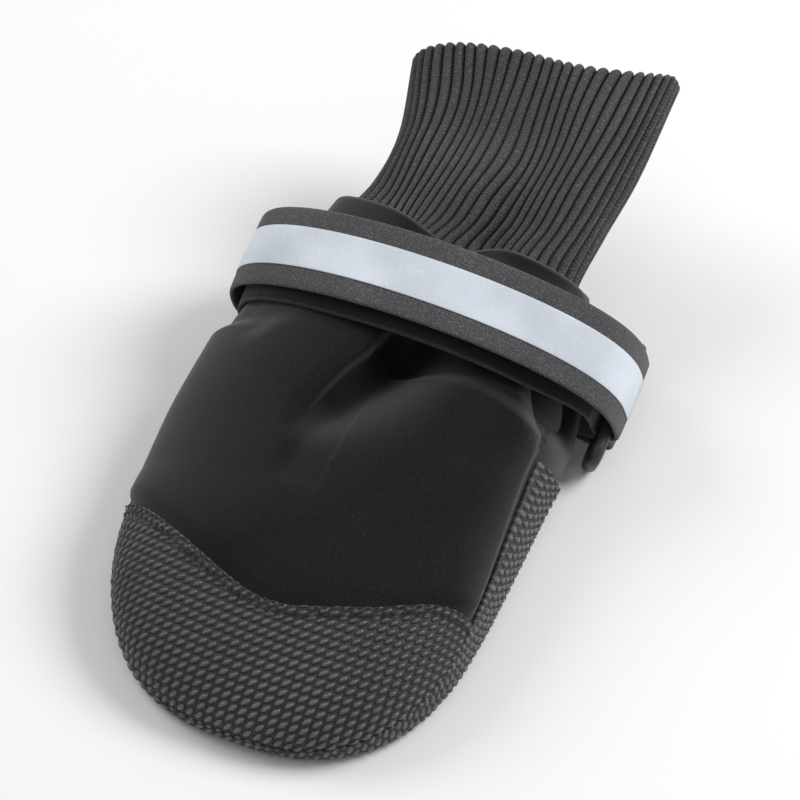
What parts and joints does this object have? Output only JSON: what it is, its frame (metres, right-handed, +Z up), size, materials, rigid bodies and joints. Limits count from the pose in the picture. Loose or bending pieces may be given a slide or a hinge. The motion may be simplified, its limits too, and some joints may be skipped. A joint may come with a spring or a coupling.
{
  "type": "dog boot",
  "caption": "Soft dog boot with a rounded toe cap, flat sole, tall rib knit cuff lying back and an elastic closing strap with a reflective stripe.",
  "frame": {"origin": "on the sole's rest face, under the middle of the foot between the toe tip and the collar", "axes": "+Z up, -Y towards the toe, +Y towards the cuff, +X towards the strap's ring"},
  "size_m": [0.0978, 0.1813, 0.0573],
  "materials": {
    "neoprene": "matte",
    "dotted_fabric": "satin",
    "insole_foam": "matte",
    "rib_knit": "matte",
    "webbing": "matte",
    "reflective_tape": "satin",
    "ring_plastic": "satin"
  },
  "bodies": {
    "root": {"upper": "neoprene", "outsole": "dotted_fabric", "toe_cap": "dotted_fabric", "insole": "insole_foam", "knit_cuff": "rib_knit", "strap": "webbing", "reflective_strip": "reflective_tape", "strap_ring": "ring_plastic", "ring_tab": "webbing"}
  },
  "joints": []
}
